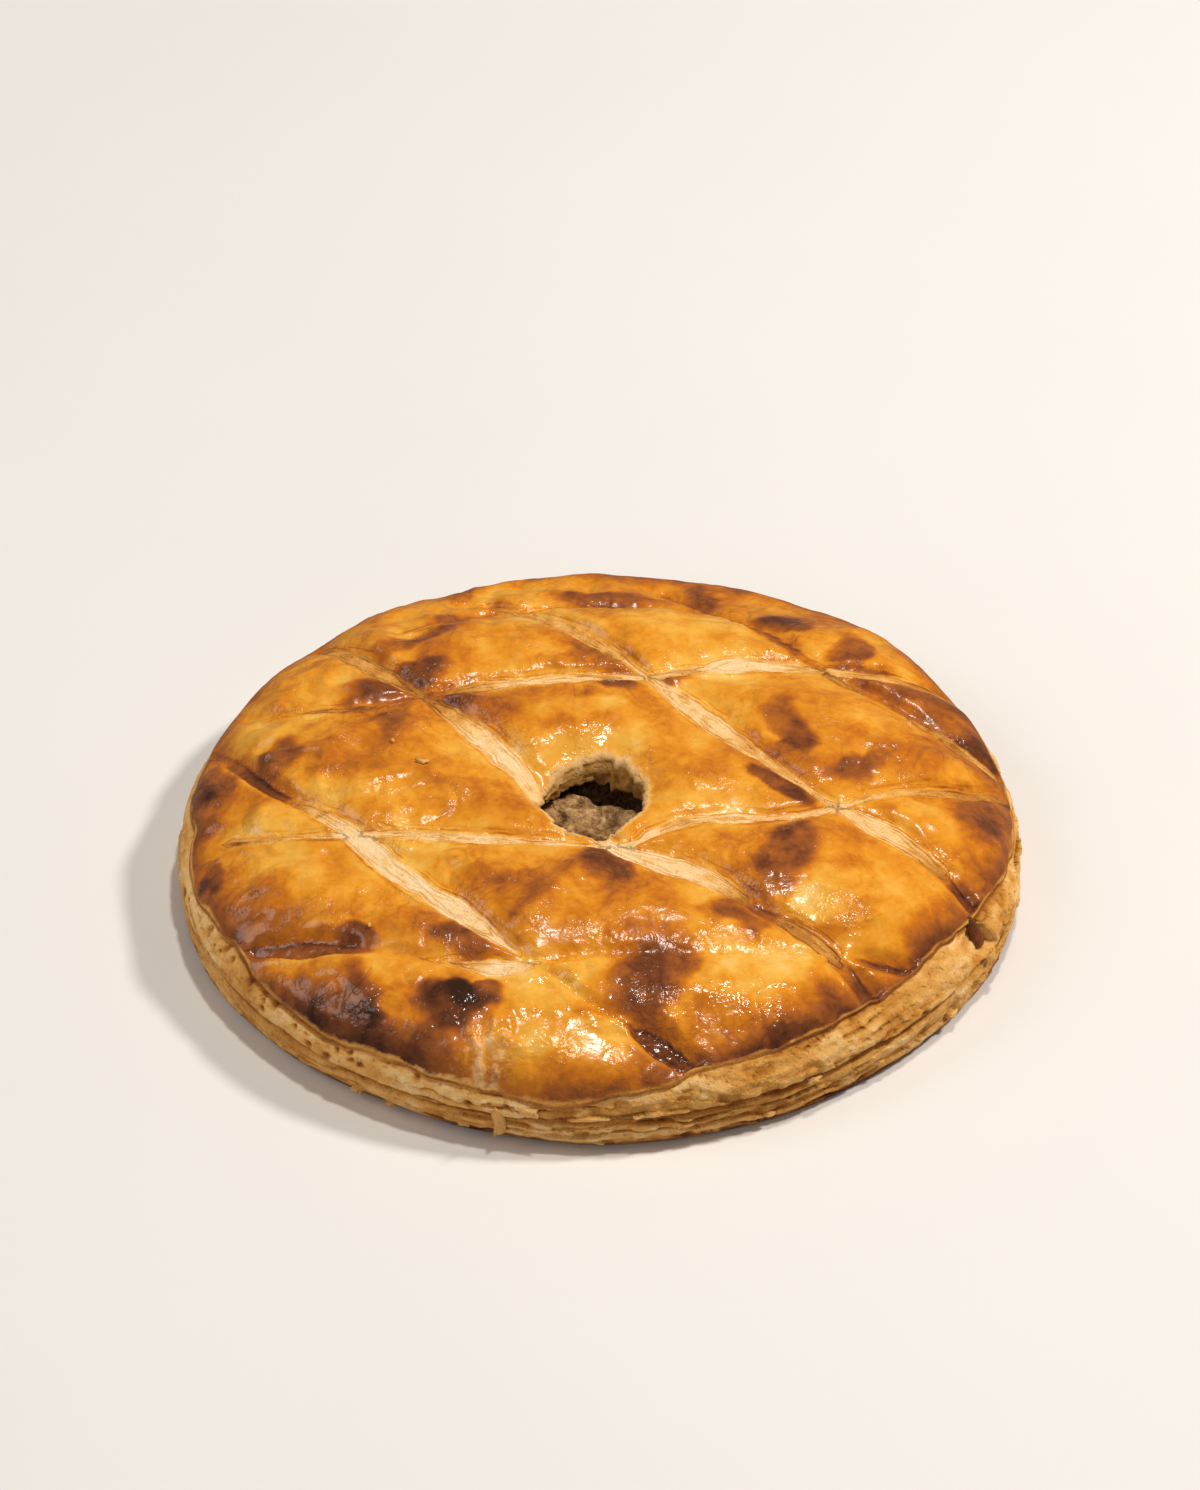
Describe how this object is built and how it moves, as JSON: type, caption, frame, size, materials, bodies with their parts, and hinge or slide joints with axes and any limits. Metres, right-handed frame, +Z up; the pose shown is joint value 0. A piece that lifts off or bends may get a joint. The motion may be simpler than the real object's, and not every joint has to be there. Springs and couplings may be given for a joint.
{
  "type": "tourtiere",
  "caption": "Round double-crust meat pie in puff pastry: glazed, scored, browned lid with a steam vent that shows the filling, over a pale flaky edge.",
  "frame": {"origin": "middle of the flat underside", "axes": "+Z up, -Y towards the side that is seen in front, +X to the right from there"},
  "size_m": [0.2511, 0.2512, 0.0393],
  "materials": {
    "pale_pastry": "dry, flaky, matt baked pastry",
    "meat": "moist minced meat",
    "glazed_pastry": "egg-glazed golden brown crust, glossy, with dark browned patches and pale torn score lines"
  },
  "bodies": {
    "root": {"base_crust": "pale_pastry", "filling": "meat", "lid_crust": "glazed_pastry"}
  },
  "joints": []
}
